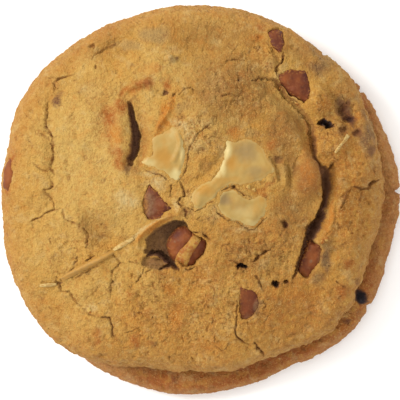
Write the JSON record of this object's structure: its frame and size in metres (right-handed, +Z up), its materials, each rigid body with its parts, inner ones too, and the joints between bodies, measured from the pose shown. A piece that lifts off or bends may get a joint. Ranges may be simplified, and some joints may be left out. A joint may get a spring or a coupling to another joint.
{
  "type": "hazelnut chocolate cookie",
  "caption": "Thick round baked cookie with a domed cracked top, chocolate chunks and melted white chocolate pieces set in the dough, and a flat underside.",
  "frame": {"origin": "centre of the cookie's plan box, on the flat underside", "axes": "+Z up through the domed top, +X to the picture's right, +Y to the picture's upper edge"},
  "size_m": [0.0804, 0.0784, 0.0193],
  "materials": {
    "dough": "matt golden baked dough",
    "chunk": "satin reddish brown chocolate",
    "white": "satin cream coloured melted white chocolate"
  },
  "bodies": {
    "root": {"dough": "dough", "chunk_top": "chunk", "chunk_upper_right": "chunk", "chunk_centre": "chunk", "chunk_hollow": "chunk", "chunk_right": "chunk", "chunk_lower": "chunk", "chunk_rim": "chunk", "white_left": "white", "white_upper": "white", "white_lower": "white"}
  },
  "joints": []
}
